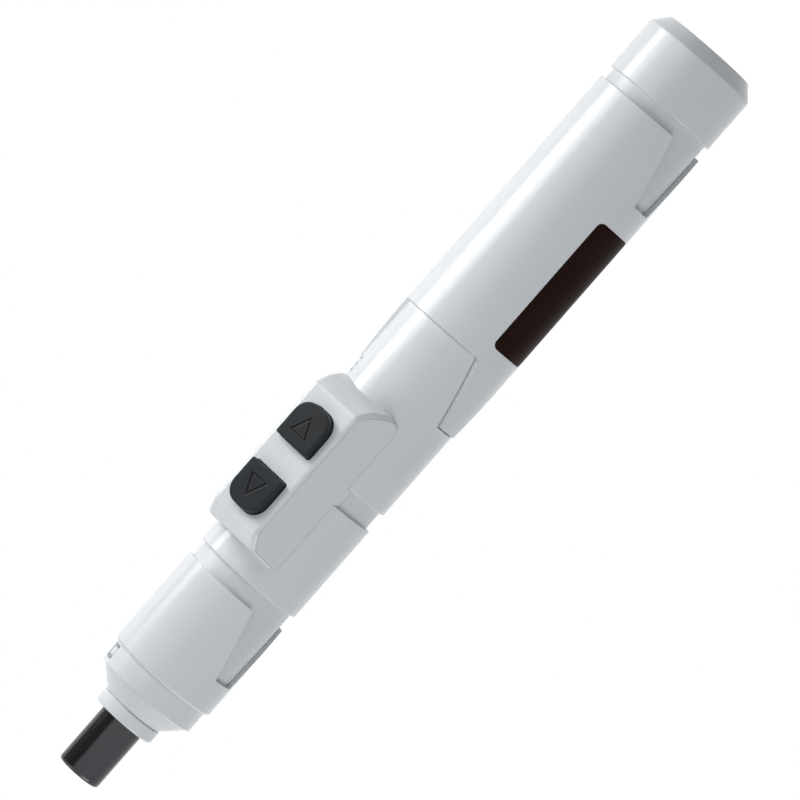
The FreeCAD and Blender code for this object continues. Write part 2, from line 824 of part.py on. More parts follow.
def make_motor():
    can_bore = inner_fit - motor_can_wall
    inner_top = z_motor_top - motor_front_wall
    boss_top = z_motor_top + motor_boss_height
    bush_fit = motor_bush_radius + seat_gap
    can = turned([
        (can_bore, z_bell_top), (inner_fit, z_bell_top), (inner_fit, z_motor_top),
        (motor_boss_radius, z_motor_top), (motor_boss_radius, boss_top), (bush_fit, boss_top),
        (bush_fit, inner_top), (can_bore, inner_top),
    ])
    for hole in motor_screw(seat_gap, inner_top - overcut):
        can = can.cut(hole)
    save("motor_can", can)
    bell_bush = z_motor + bell_thickness - motor_bush_height
    bush_bore_radius = shaft_radius + running_gap
    front_bush = tube(motor_bush_radius, bush_bore_radius, boss_top - motor_bush_height, boss_top)
    rear_bush = tube(motor_bush_radius, bush_bore_radius, bell_bush, z_bell_top)
    save("motor_bushes", front_bush, rear_bush)
    magnet_outer = can_bore - seat_gap
    magnet_inner = magnet_outer - magnet_thickness
    arcs = []
    for side in (0, 180):
        arc = Part.makeCylinder(magnet_outer, magnet_length, Vector(0, 0, z_magnet), UP, magnet_span)
        arc = arc.cut(rod(magnet_inner, z_magnet, z_magnet_top))
        arc.rotate(ORIGIN, UP, side - magnet_span / 2)
        arcs.append(arc)
    save("motor_magnets", *arcs)
    armature_radius = magnet_inner - air_gap
    core = tube(armature_radius, shaft_radius, z_armature, z_armature_top)
    slot_floor = armature_radius - slot_depth
    slot = block((-slot_width / 2, slot_width / 2), (slot_floor, core_radius), (z_armature, z_armature_top))
    for opening in around(slot, armature_slots):
        core = core.cut(opening)
    save("armature_core", core)
    winding_radius = armature_radius - winding_inset
    coils = []
    for bottom in (z_armature_top, z_armature - winding_height):
        coil = tube(winding_radius, winding_bore, bottom, bottom + winding_height)
        rims = [(winding_radius, bottom), (winding_radius, bottom + winding_height)]
        coils.append(round_rims(coil, winding_round, rims))
    save("armature_winding", *coils)
    save("commutator", tube(commutator_radius, shaft_radius, z_commutator, z_armature))
    save("motor_shaft", rod(shaft_radius, bell_bush, z_first_carrier - end_play))
    make_end_bell(bell_bush, can_bore)


def make_end_bell(bell_bush, can_bore):
    bell = rod(inner_fit, z_motor, z_bell_top)
    bell = bell.cut(rod(motor_bush_radius + seat_gap, bell_bush, z_bell_top + overcut))
    brush_bottom = z_commutator + seat_gap
    brush_top = brush_bottom + brush_height
    post_outer = can_bore - 2 * running_gap
    post_inner = post_outer - bell_post_depth
    half_post = bell_post_width / 2
    half_brush = brush_width / 2
    half_terminal = terminal_width / 2
    ring = tube(post_outer, post_inner, z_bell_top, brush_top)
    brushes = []
    for side in (0, 180):
        reach = (post_inner / 2, post_outer + overcut)
        sector = block(reach, (-half_post, half_post), (z_bell_top, brush_top))
        bell = bell.fuse(turned_to(sector.common(ring), side))
        stick = block((0, post_inner + seat_gap), (-half_brush, half_brush), (brush_bottom, brush_top))
        stick = stick.cut(rod(commutator_radius + running_gap, z_bell_top, brush_top + overcut))
        stick = stick.cut(ring)
        brushes.append(turned_to(stick, side))
        blade = block(
            (terminal_place - terminal_thickness / 2, terminal_place + terminal_thickness / 2),
            (-half_terminal, half_terminal),
            (z_motor - terminal_length, z_motor),
        )
        brushes.append(turned_to(blade, side))
    save("motor_end_bell", bell.removeSplitter())
    save("motor_brushes", *brushes)


# Button housing

def housing_profile(inset):
    # The housing's side view, drawn in by inset and as wide as anything in the housing
    rear = z_housing + inset
    front = z_housing + housing_length - inset
    top = h_top - inset
    sink = sleeve_radius - housing_sink
    rear_edge = rear + housing_rear_slope
    front_edge = front - housing_front_draft
    profile = [
        (rear, sink), (rear, top - housing_rear_drop),
        (rear_edge - housing_knee_back, top - housing_knee_drop), (rear_edge, top),
        (front_edge - housing_front_slope, top), (front_edge, top - housing_front_drop), (front, sink),
    ]
    top_round = housing_edge + housing_round_margin
    radii = [0, housing_rear_round, housing_rear_round, top_round, top_round, top_round, 0]
    reach = housing_base_half + overcut
    return prism(profile, radii, lambda z, h: Vector(-reach, -h, z), SIDE * (2 * reach))


def housing_flanks(half_inset):
    # The leaning side faces and the round corners of the housing's foot, drawn in by half_inset
    rear = z_housing + half_inset
    front = z_housing + housing_length - half_inset
    sink = sleeve_radius - housing_sink
    over = h_top + overcut
    lean = math.tan(housing_side_draft)
    low_half = housing_top_half - half_inset + (h_top - sink) * lean
    over_half = housing_top_half - half_inset - overcut * lean
    section = [(-low_half, sink), (low_half, sink), (over_half, over), (-over_half, over)]
    flanks = prism(section, [0] * len(section), lambda x, h: Vector(x, -h, rear), UP * (front - rear))
    base = housing_base_half - half_inset
    plan = [(-base, rear), (base, rear), (base, front), (-base, front)]
    corners = [housing_base_corner - half_inset] * len(plan)
    foot = prism(plan, corners, lambda x, z: Vector(x, 0, z), OUT * over)
    return flanks.common(foot)


def housing_form():
    # The whole outer form, with the long edges of its side faces rounded
    form = housing_profile(0).common(housing_flanks(0)).removeSplitter()
    lean = math.tan(housing_side_draft)
    long_edges = []
    for edge in form.Edges:
        points = edge.discretize(3)
        off_flank = [abs(abs(p.x) - housing_top_half - (h_top + p.y) * lean) for p in points]
        lowest = min(-p.y for p in points)
        if max(off_flank) < same_place and lowest > sleeve_radius - housing_rise / 2:
            long_edges.append(edge)
    return form.makeFillet(housing_edge, long_edges)


def seat_cut():
    # What the housing sits on: both sleeves, and the core tube in the gap between them
    low = rod(sleeve_radius + seat_gap, z_seam, z_middle_gap + seat_gap)
    high = rod(sleeve_radius + seat_gap, z_middle_front - seat_gap, z_nose)
    return low.fuse(high).fuse(rod(core_radius + seat_gap, z_seam, z_nose))


def button_outline(bottom, outer_end, grow):
    half = button_width / 2 + grow
    low = bottom - grow
    high = bottom + button_length + grow
    corners = [(-half, low), (half, low), (half, high), (-half, high)]
    inner = max(button_inner_corner + grow, 0)
    outer = max(button_corner + grow, 0)
    radii = [inner, inner, outer, outer] if outer_end > 0 else [outer, outer, inner, inner]
    return corners, radii


def button_prism(bottom, outer_end, grow, low, high):
    corners, radii = button_outline(bottom, outer_end, grow)
    return prism(corners, radii, lambda x, z: Vector(x, -low, z), OUT * (high - low))


def button_places():
    return [("reverse", z_reverse, -1), ("forward", z_forward, 1)]


def make_housing():
    seat = seat_cut()
    form = housing_form()
    lip = cover_lip + parting_gap
    cavity = housing_profile(housing_wall + lip).common(housing_flanks(housing_wall))
    well_half = housing_top_half - housing_wall
    plug = block((-well_half, well_half), (-h_top, -h_cover_under), (z_board, z_board_top))
    well = block(
        (-well_half - seat_gap, well_half + seat_gap), (-h_top - overcut, -h_board),
        (z_board - seat_gap, z_board_top + seat_gap),
    )
    base = form.common(housing_profile(lip)).cut(cavity).cut(well).cut(seat)
    save("button_housing", base)
    strap = form.cut(housing_profile(cover_lip)).cut(seat)
    boss = post(board_boss_radius, h_board_top, h_cover_under, z_board_screw)
    cover = strap.multiFuse([plug.common(housing_profile(cover_lip / 2)), boss])
    for name, bottom, outer_end in button_places():
        cover = cover.cut(button_prism(bottom, outer_end, button_clearance, h_board_top, h_button_top))
    pilot = post(board_screw_radius, h_board, h_top - cover_lip, z_board_screw)
    save("button_cover", cover.cut(pilot).removeSplitter())


def arrow_cut(bottom, outer_end):
    # An outline triangle that points to the button's outer end
    middle = bottom + button_length / 2
    half_width = arrow_width / 2
    half_length = arrow_length / 2
    apex_half = math.atan(half_width / arrow_length)
    inner_apex = half_length - arrow_stroke / math.sin(apex_half)
    inner_base = -half_length + arrow_base_stroke
    inner_half = (inner_apex - inner_base) * math.tan(apex_half)
    outer = [(-half_width, -half_length), (half_width, -half_length), (0, half_length)]
    inner = [(-inner_half, inner_base), (inner_half, inner_base), (0, inner_apex)]
    floor = h_button_top - arrow_depth
    triangles = []
    for corners in (outer, inner):
        placed = [(x, middle + outer_end * z) for x, z in corners]
        triangles.append(prism(placed, [0] * len(placed), lambda x, z: Vector(x, -floor, z), OUT * overcut))
    return triangles[0].cut(triangles[1])


def make_buttons():
    roof = h_button_top - button_roof
    for name, bottom, outer_end in button_places():
        centre = bottom + button_length / 2
        cap = button_prism(bottom, outer_end, 0, h_flange, h_button_top)
        top_edges = [edge for edge in cap.Edges if edge.BoundBox.YMax < same_place - h_button_top]
        cap = cap.makeFillet(button_edge, top_edges)
        flange = button_prism(bottom, outer_end, button_flange, h_flange, h_flange_top)
        hollow = button_prism(bottom, outer_end, -button_wall, h_flange - overcut, roof)
        stem = post(plunger_radius, h_plunger_top, roof, centre)
        button = cap.fuse(flange).cut(hollow).fuse(stem).cut(arrow_cut(bottom, outer_end))
        save(name + "_button", button.removeSplitter())
        save(name + "_plunger", post(plunger_radius, h_plunger, h_plunger_top, centre))


def make_switches():
    half_board = housing_top_half - housing_wall - board_clearance
    board = block((-half_board, half_board), (-h_board_top, -h_board), (z_board, z_board_top))
    hole = post(board_screw_radius + seat_gap, h_board - overcut, h_board_top + overcut, z_board_screw)
    save("switch_board", board.cut(hole))
    head = post(board_screw_head, h_board - board_screw_head_height, h_board, z_board_screw)
    thread = post(board_screw_radius - seat_gap, h_board, h_cover_under, z_board_screw)
    save("board_screw", head.fuse(thread).removeSplitter())
    half = switch_width / 2
    bodies = []
    for name, bottom, outer_end in button_places():
        centre = bottom + button_length / 2
        body = block((-half, half), (-h_switch_top, -h_board_top), (centre - half, centre + half))
        bodies.append(body.cut(post(plunger_radius + running_gap, h_switch_well, h_top, centre)))
    save("switch_bodies", *bodies)


# Driver board and leads

def make_driver():
    save("driver_board", rod(inner_fit, z_driver, z_driver_top))
    half = driver_chip_width / 2
    tall = (z_driver_top, z_driver_top + driver_chip_height)
    chips = []
    for x in (-driver_chip_place, driver_chip_place):
        for y in (-driver_chip_place, driver_chip_place):
            chips.append(block((x - half, x + half), (y - half, y + half), tall))
    save("driver_chips", *chips)


def make_leads():
    motor_leads = []
    for x in (-terminal_place, terminal_place):
        motor_leads.append(rod(lead_radius, z_driver_top, z_motor - terminal_length, x))
    save("motor_leads", *motor_leads)
    save("battery_lead", rod(lead_radius, z_seam, z_driver))
    foot = -(driver_chip_place + driver_chip_width / 2 + 2 * lead_radius)
    corner = lead_bend * (1 - math.sqrt(0.5))
    start = Vector(0, foot, z_driver_top)
    bend_start = Vector(0, foot, z_switch_lead - lead_bend)
    bend_middle = Vector(0, foot - corner, z_switch_lead - corner)
    bend_end = Vector(0, foot - lead_bend, z_switch_lead)
    route = Part.Wire([
        Part.LineSegment(start, bend_start).toShape(),
        Part.Arc(bend_start, bend_middle, bend_end).toShape(),
        Part.LineSegment(bend_end, Vector(0, -h_board, z_switch_lead)).toShape(),
    ])
    section = Part.Wire(Part.Circle(start, UP, lead_radius).toShape())
    save("switch_lead", route.makePipeShell([section], True, False))


os.makedirs("parts", exist_ok=True)
make_tail_cap()
make_contact_spring()
make_cell()
make_rear_tube()
make_rear_shell()
make_core_tube()
make_sleeves()
make_nose()
make_bit_holder()
make_gearbox()
make_plate()
make_motor()
make_housing()
make_buttons()
make_switches()
make_driver()
make_leads()
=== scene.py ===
import bpy
import bmesh
import math
from mathutils import Matrix, Vector


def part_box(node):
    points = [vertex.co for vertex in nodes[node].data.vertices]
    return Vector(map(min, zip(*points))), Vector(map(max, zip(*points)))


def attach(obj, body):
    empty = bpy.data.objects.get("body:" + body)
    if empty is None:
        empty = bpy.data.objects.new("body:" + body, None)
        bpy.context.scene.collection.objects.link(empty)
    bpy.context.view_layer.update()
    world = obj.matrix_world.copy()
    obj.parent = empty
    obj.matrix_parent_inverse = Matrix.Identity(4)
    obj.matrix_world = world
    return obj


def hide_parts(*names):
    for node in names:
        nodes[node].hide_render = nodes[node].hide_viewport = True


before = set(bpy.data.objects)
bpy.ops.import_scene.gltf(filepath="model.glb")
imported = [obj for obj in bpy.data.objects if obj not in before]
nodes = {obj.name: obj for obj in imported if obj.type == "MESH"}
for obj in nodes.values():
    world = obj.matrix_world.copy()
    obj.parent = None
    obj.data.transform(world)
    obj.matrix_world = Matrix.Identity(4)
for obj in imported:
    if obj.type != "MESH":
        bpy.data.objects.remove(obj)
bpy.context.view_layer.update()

# The motor's shaft, with the planet pins, washer and circlip that are finished like it. They
# are hard steel, ground or stamped bright, and the shaft is pressed into the core and pinion.


def finish(name, pale, deep, mottle, rough, grain, depth, along=(1, 1, 1), metallic=0.0, specular=0.5,
           worn=None, worn_rough=0.0, worn_width=0.0):
    """A surface with mottled colour, uneven gloss and a fine relief. Sizes are in metres.
    worn is the colour of the rubbed edges, which have a roughness and a width of their own."""
    noise_low = 0.3
    noise_high = 0.7
    deep_end = 0.32
    pale_end = 0.68
    colour_detail = 4
    gloss_detail = 3
    grain_detail = 2
    gloss_share = 0.6
    patch_share = 0.3
    patch_least = 0.25
    edge_samples = 6
    edge_starts = 0.995
    edge_full = 0.90
    material = bpy.data.materials.new(name)
    material.use_nodes = True
    tree = material.node_tree
    shader = tree.nodes["Principled BSDF"]
    shader.inputs["Metallic"].default_value = metallic
    shader.inputs["Specular IOR Level"].default_value = specular
    place = tree.nodes.new("ShaderNodeTexCoord")
    drawn = tree.nodes.new("ShaderNodeMapping")
    drawn.inputs["Scale"].default_value = along
    tree.links.new(place.outputs["Object"], drawn.inputs["Vector"])

    def speckle(size, detail):
        noise = tree.nodes.new("ShaderNodeTexNoise")
        noise.inputs["Scale"].default_value = 1 / size
        noise.inputs["Detail"].default_value = detail
        tree.links.new(drawn.outputs["Vector"], noise.inputs["Vector"])
        return noise.outputs["Fac"]

    def spread(value, low, high):
        span = tree.nodes.new("ShaderNodeMapRange")
        span.inputs["From Min"].default_value = noise_low
        span.inputs["From Max"].default_value = noise_high
        span.inputs["To Min"].default_value = low
        span.inputs["To Max"].default_value = high
        tree.links.new(value, span.inputs["Value"])
        return span.outputs["Result"]

    tone = tree.nodes.new("ShaderNodeValToRGB")
    tone.color_ramp.elements[0].position = deep_end
    tone.color_ramp.elements[0].color = (*deep, 1)
    tone.color_ramp.elements[1].position = pale_end
    tone.color_ramp.elements[1].color = (*pale, 1)
    tree.links.new(speckle(mottle, colour_detail), tone.inputs["Fac"])
    colour = tone.outputs["Color"]
    gloss = spread(speckle(mottle * gloss_share, gloss_detail), *rough)

    relief = tree.nodes.new("ShaderNodeBump")
    relief.inputs["Strength"].default_value = 1.0
    relief.inputs["Distance"].default_value = depth
    tree.links.new(speckle(grain, grain_detail), relief.inputs["Height"])

    if worn:
        edge = tree.nodes.new("ShaderNodeBevel")
        edge.samples = edge_samples
        edge.inputs["Radius"].default_value = worn_width
        tree.links.new(edge.outputs["Normal"], relief.inputs["Normal"])
        flat = tree.nodes.new("ShaderNodeNewGeometry")
        turn = tree.nodes.new("ShaderNodeVectorMath")
        turn.operation = "DOT_PRODUCT"
        tree.links.new(edge.outputs["Normal"], turn.inputs[0])
        tree.links.new(flat.outputs["Normal"], turn.inputs[1])
        rubbed = tree.nodes.new("ShaderNodeMapRange")
        rubbed.inputs["From Min"].default_value = edge_starts
        rubbed.inputs["From Max"].default_value = edge_full
        tree.links.new(turn.outputs["Value"], rubbed.inputs["Value"])
        patchy = tree.nodes.new("ShaderNodeMath")
        patchy.operation = "MULTIPLY"
        tree.links.new(rubbed.outputs["Result"], patchy.inputs[0])
        patches = spread(speckle(mottle * patch_share, colour_detail), patch_least, 1.0)
        tree.links.new(patches, patchy.inputs[1])
        bare = tree.nodes.new("ShaderNodeMix")
        bare.data_type = "RGBA"
        bare.inputs["B"].default_value = (*worn, 1)
        tree.links.new(patchy.outputs["Value"], bare.inputs["Factor"])
        tree.links.new(colour, bare.inputs["A"])
        colour = bare.outputs["Result"]
        shine = tree.nodes.new("ShaderNodeMix")
        shine.inputs["B"].default_value = worn_rough
        tree.links.new(patchy.outputs["Value"], shine.inputs["Factor"])
        tree.links.new(gloss, shine.inputs["A"])
        gloss = shine.outputs["Result"]

    tree.links.new(colour, shader.inputs["Base Color"])
    tree.links.new(gloss, shader.inputs["Roughness"])
    tree.links.new(relief.outputs["Normal"], shader.inputs["Normal"])
    return material


def dress(material, *names):
    """Gives pieces of the frame their finish."""
    for name in names:
        for place in nodes[name].material_slots:
            place.material = material


ground_steel = finish("ground_steel", pale=(0.60, 0.60, 0.61), deep=(0.48, 0.48, 0.50), mottle=0.004,
                      rough=(0.12, 0.25), grain=0.0003, depth=0.000002, along=(1, 1, 5), metallic=1.0,
                      worn=(0.7, 0.7, 0.7), worn_rough=0.15, worn_width=0.0001)
dress(ground_steel, "motor_shaft", "output_pins", "first_pins", "thrust_washer", "spindle_circlip")

# The rotor's core is a stack of punched silicon steel sheets with five slots for the wire. It
# is pressed on the shaft, and the lines between its sheets show on its turned outside.
laminated = finish("laminated_steel", pale=(0.30, 0.30, 0.31), deep=(0.16, 0.16, 0.17), mottle=0.002,
                   rough=(0.35, 0.55), grain=0.0005, depth=0.000012, along=(0.05, 0.05, 6), metallic=1.0)
dress(laminated, "armature_core")

# The winding is five coils of enamelled copper wire, wound in the core's slots. Each coil climbs
# as it crosses the core's ends, so that it lies over the next one, and dips in towards the shaft.
coil_count = 5
coil_turns = 3
coil_span = 2
coil_wire = 0.00021
coil_pitch = 0.00045
coil_inner = 0.00475
coil_aside = 0.00024
coil_dip = 0.0014
coil_low = 0.00045
coil_high = 0.00175
coil_sides = 8
first_slot = math.pi / 2
crossing_steps = 8
corner_passes = 2


def round_the_axis(radius, angle, height):
    """A point beside the tool's axis."""
    return Vector((radius * math.cos(angle), radius * math.sin(angle), height))


def rounded(loop, passes, cut_share=0.25):
    """Cuts the corners of a closed path of points."""
    for _ in range(passes):
        cut = []
        for here, there in zip(loop, loop[1:] + loop[:1]):
            cut += [here.lerp(there, cut_share), here.lerp(there, 1 - cut_share)]
        loop = cut
    return loop


def add_wire(skin, path, wire_radius, sides, closed):
    """Adds a round wire along a path that goes round the tool's axis."""
    count = len(path)
    rings = []
    for index, point in enumerate(path):
        before = path[index - 1] if closed or index > 0 else point
        after = path[(index + 1) % count] if closed or index < count - 1 else point
        along = (after - before).normalized()
        out = Vector((point.x, point.y, 0))
        out = (out - along * out.dot(along)).normalized()
        across = along.cross(out)
        ring = []
        for side in range(sides):
            angle = 2 * math.pi * side / sides
            spoke = out * math.cos(angle) + across * math.sin(angle)
            ring.append(skin.verts.new(point + spoke * wire_radius))
        rings.append(ring)
    links = list(zip(rings, rings[1:]))
    if closed:
        links.append((rings[-1], rings[0]))
    for ring, following in links:
        for side in range(sides):
            beside = (side + 1) % sides
            skin.faces.new((ring[side], ring[beside], following[beside], following[side]))
    if not closed:
        skin.faces.new(reversed(rings[0]))
        skin.faces.new(rings[-1])


def piece_of(name, skin, material):
    """Makes a smooth shaded piece of a skin and gives it its finish."""
    bmesh.ops.recalc_face_normals(skin, faces=skin.faces)
    mesh = bpy.data.meshes.new(name)
    skin.to_mesh(mesh)
    skin.free()
    mesh.materials.append(material)
    for face in mesh.polygons:
        face.use_smooth = True
    piece = bpy.data.objects.new(name, mesh)
    bpy.context.scene.collection.objects.link(piece)
    return piece


core_low, core_high = (corner.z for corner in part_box("armature_core"))
coils = bmesh.new()
for coil in range(coil_count):
    for turn in range(coil_turns):
        radius = coil_inner + turn * coil_pitch
        first = first_slot + 2 * math.pi * coil / coil_count + coil_aside / radius
        last = first_slot + 2 * math.pi * (coil + coil_span) / coil_count - coil_aside / radius
        over, under = [], []
        for step in range(crossing_steps + 1):
            share = step / crossing_steps
            reach = radius - coil_dip * math.sin(math.pi * share)
            rise = coil_low + (coil_high - coil_low) * share
            angle = first + (last - first) * share
            over.append(round_the_axis(reach, angle, core_high + rise))
            under.append(round_the_axis(reach, angle, core_low - rise))
        up_slot = [round_the_axis(radius, first, core_low), round_the_axis(radius, first, core_high)]
        down_slot = [round_the_axis(radius, last, core_high), round_the_axis(radius, last, core_low)]
        one_turn = rounded(up_slot + over + down_slot + under[::-1], corner_passes)
        add_wire(coils, one_turn, coil_wire, coil_sides, closed=True)
enamel = finish("enamelled_copper", pale=(0.52, 0.19, 0.065), deep=(0.36, 0.11, 0.035), mottle=0.0015,
                rough=(0.22, 0.36), grain=0.0003, depth=0.00001, along=(1, 1, 4), metallic=0.85)
winding = piece_of("winding_coils", coils, enamel)
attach(winding, "rotor")
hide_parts("armature_winding")

# The commutator is a ring of bare copper bars moulded on the shaft. The brushes rub its middle
# to a brown sheen, with fine lines round it.
rubbed_copper = finish("rubbed_copper", pale=(0.56, 0.27, 0.13), deep=(0.38, 0.17, 0.08), mottle=0.0012,
                       rough=(0.20, 0.34), grain=0.00025, depth=0.000006, along=(0.2, 0.2, 5), metallic=1.0,
                       worn=(0.72, 0.42, 0.26), worn_rough=0.2, worn_width=0.0001)
dress(rubbed_copper, "commutator")

# The two field magnets are arcs of pressed ferrite, glued into the motor can. They are matt and
# grey black, with pale chipped edges.
ferrite = finish("ferrite", pale=(0.060, 0.058, 0.060), deep=(0.030, 0.029, 0.031), mottle=0.003,
                 rough=(0.55, 0.75), grain=0.00025, depth=0.00001,
                 worn=(0.11, 0.11, 0.11), worn_rough=0.5, worn_width=0.00015)
dress(ferrite, "motor_magnets")

# The motor can is a deep drawn steel cup with a bright zinc plating. Two screws hold it to the
# gearbox plate, which is plated like it, as is the board's screw.
zinc = finish("zinc_plate", pale=(0.62, 0.64, 0.67), deep=(0.50, 0.52, 0.55), mottle=0.006,
              rough=(0.26, 0.40), grain=0.0004, depth=0.000004, metallic=1.0,
              worn=(0.72, 0.72, 0.73), worn_rough=0.2, worn_width=0.00012)
dress(zinc, "motor_can", "motor_screws", "gearbox_plate", "board_screw")

# The bushes are sintered bronze filled with oil, pressed into the can, the end bell and the
# nose. The brush arms and their terminals are rolled from a like alloy.
bronze = finish("sintered_bronze", pale=(0.42, 0.25, 0.10), deep=(0.28, 0.15, 0.06), mottle=0.002,
                rough=(0.35, 0.52), grain=0.0002, depth=0.000012, metallic=1.0,
                worn=(0.6, 0.42, 0.2), worn_rough=0.22, worn_width=0.0001)
dress(bronze, "spindle_bush", "motor_bushes", "motor_brushes")

# The end bell closes the motor's rear end. It is moulded in black nylon, as are the switch
# bodies and plungers, and the driver's chips have a like black resin.
black_nylon = finish("black_nylon", pale=(0.022, 0.022, 0.024), deep=(0.012, 0.012, 0.013), mottle=0.004,
                     rough=(0.42, 0.60), grain=0.00025, depth=0.000008,
                     worn=(0.06, 0.06, 0.062), worn_rough=0.35, worn_width=0.00015)
dress(black_nylon, "motor_end_bell", "switch_bodies", "driver_chips", "forward_plunger", "reverse_plunger")

# The gears and carriers are pressed from steel powder, sintered and darkened by steam. Their
# teeth are rubbed bright where they mesh.
sintered = finish("sintered_steel", pale=(0.30, 0.30, 0.31), deep=(0.19, 0.19, 0.20), mottle=0.0015,
                  rough=(0.32, 0.48), grain=0.00015, depth=0.000008, metallic=1.0,
                  worn=(0.55, 0.55, 0.56), worn_rough=0.2, worn_width=0.0001)
dress(sintered, "output_carrier", "first_carrier", "motor_pinion", "output_planet_a", "output_planet_b",
      "output_planet_c", "first_planet_a", "first_planet_b", "first_planet_c")

# The ring gear is one moulding of natural acetal that both planet stages run in. It is waxy and
# cream white, and is keyed into the core tube.
acetal = finish("natural_acetal", pale=(0.62, 0.59, 0.51), deep=(0.52, 0.49, 0.42), mottle=0.006,
                rough=(0.34, 0.48), grain=0.0003, depth=0.000005,
                worn=(0.7, 0.68, 0.6), worn_rough=0.3, worn_width=0.00015)
dress(acetal, "ring_gear")

# The bit holder is turned from steel and blacked in a hot oxide bath. It turns in the nose's
# bush, and its mouth is rubbed a little paler where the bits go in.
black_oxide = finish("black_oxide", pale=(0.066, 0.068, 0.072), deep=(0.054, 0.057, 0.061), mottle=0.004,
                     rough=(0.15, 0.20), grain=0.0006, depth=0.0000005, along=(1, 1, 0.15), metallic=1.0,
                     worn=(0.11, 0.11, 0.11), worn_rough=0.22, worn_width=0.0003)
dress(black_oxide, "bit_holder")

# The bit magnet at the bottom of the socket is nickel plated. So are the cell's terminal and the
# stamped contacts that the cell is held between.
nickel = finish("nickel_plate", pale=(0.66, 0.63, 0.58), deep=(0.55, 0.52, 0.47), mottle=0.003,
                rough=(0.15, 0.28), grain=0.0005, depth=0.000003, metallic=1.0)
dress(nickel, "bit_magnet", "cell_terminal", "contact_plate", "positive_contact")

# The core tube, rear tube and bearing carrier are the frame that all else is slid into or over.
# They are moulded in white plastic that is a little duller than the shells.
white_core = finish("white_frame", pale=(0.66, 0.69, 0.72), deep=(0.62, 0.65, 0.68), mottle=0.012,
                    rough=(0.34, 0.46), grain=0.0003, depth=0.000004,
                    worn=(0.66, 0.69, 0.72), worn_rough=0.3, worn_width=0.0002)
dress(white_core, "core_tube", "rear_tube", "bearing_carrier")

# The two circuit boards are glass cloth and resin under a green solder mask. One lies across the
# core tube behind the motor and one under the buttons.
solder_mask = finish("solder_mask", pale=(0.020, 0.115, 0.045), deep=(0.014, 0.085, 0.032), mottle=0.0012,
                     rough=(0.22, 0.34), grain=0.0004, depth=0.000006,
                     worn=(0.35, 0.30, 0.18), worn_rough=0.6, worn_width=0.0001)
dress(solder_mask, "switch_board", "driver_board")

# The leads join the cell, the boards and the motor. They are stranded wire in a soft red
# silicone jacket, soldered at both ends.
jacket = finish("wire_jacket", pale=(0.33, 0.022, 0.018), deep=(0.26, 0.014, 0.012), mottle=0.003,
                rough=(0.36, 0.5), grain=0.0003, depth=0.000004)
dress(jacket, "motor_leads", "battery_lead", "switch_lead")

# The cell is a round steel can in a blue shrink sleeve. The sleeve is open at the lower end, where
# the bare can shows inside the sleeve's rolled lip.
sleeve_film = finish("shrink_sleeve", pale=(0.035, 0.10, 0.27), deep=(0.028, 0.08, 0.22), mottle=0.01,
                     rough=(0.18, 0.30), grain=0.0015, depth=0.00001,
                     worn=(0.06, 0.15, 0.36), worn_rough=0.2, worn_width=0.0003)
dress(sleeve_film, "battery_cell")
base_radius = 0.0077
base_stand = 0.00003
base_lip = 0.0002
base_sides = 64


def turned_skin(outline, sides):
    """Turns an outline of radius and height, from the axis out, about the tool's axis."""
    skin = bmesh.new()
    centre = skin.verts.new((0, 0, outline[0][1]))
    rings = []
    for radius, height in outline[1:]:
        rings.append([skin.verts.new(round_the_axis(radius, 2 * math.pi * side / sides, height))
                      for side in range(sides)])
    for side in range(sides):
        beside = (side + 1) % sides
        skin.faces.new((centre, rings[0][side], rings[0][beside]))
        for ring, outer in zip(rings, rings[1:]):
            skin.faces.new((ring[side], outer[side], outer[beside], ring[beside]))
    return skin


cell_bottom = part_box("battery_cell")[0].z
base_flat = cell_bottom - base_stand
base_outline = [
    (0, base_flat),
    (base_radius - base_lip * 3, base_flat),
    (base_radius - base_lip * 2, cell_bottom - base_stand / 2),
    (base_radius - base_lip, base_flat),
    (base_radius, cell_bottom),
]
cell_base = piece_of("cell_base", turned_skin(base_outline, base_sides), nickel)
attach(cell_base, "tool_body")

# The rear shell, sleeves and nose cap are slid over the frame and snapped on. They are moulded in
# white plastic from a finely spark eroded tool, as are the tail cap and the button housing.
white_shell = finish("white_shell", pale=(0.695, 0.73, 0.76), deep=(0.682, 0.717, 0.747), mottle=0.015,
                     rough=(0.21, 0.265), grain=0.00028, depth=0.000002,
                     worn=(0.69, 0.725, 0.755), worn_rough=0.24, worn_width=0.0001)
dress(white_shell, "nose_cap", "front_sleeve", "middle_front_sleeve", "middle_rear_sleeve", "rear_shell",
      "tail_cap", "button_housing", "button_cover")

# The two buttons are charcoal plastic with a satin skin. Each has an arrow cut into its top and
# a flange under the cover that keeps it in.
charcoal = finish("charcoal_button", pale=(0.021, 0.0245, 0.0275), deep=(0.016, 0.0185, 0.021), mottle=0.004,
                  rough=(0.28, 0.36), grain=0.00022, depth=0.000005, specular=0.15,
                  worn=(0.05, 0.053, 0.057), worn_rough=0.28, worn_width=0.0003)
dress(charcoal, "forward_button", "reverse_button")

# The label is a plain dark film with a satin skin, stuck in a shallow seat in the rear shell. It
# waves a little along its length.
label_film = finish("label_film", pale=(0.022, 0.0105, 0.0085), deep=(0.017, 0.008, 0.0065), mottle=0.005,
                    rough=(0.34, 0.42), grain=0.006, depth=0.00004, along=(1, 1, 0.25), specular=0.02)
dress(label_film, "label_plate")

# The three charge lights are short pipes of smoked acrylic, pressed into holes in the sleeve
# beside the buttons. They are unlit.
light_pipe = finish("light_pipe", pale=(0.075, 0.078, 0.08), deep=(0.05, 0.052, 0.055), mottle=0.001,
                    rough=(0.3, 0.4), grain=0.0003, depth=0.000004, specular=0.2)
dress(light_pipe, "charge_lights")

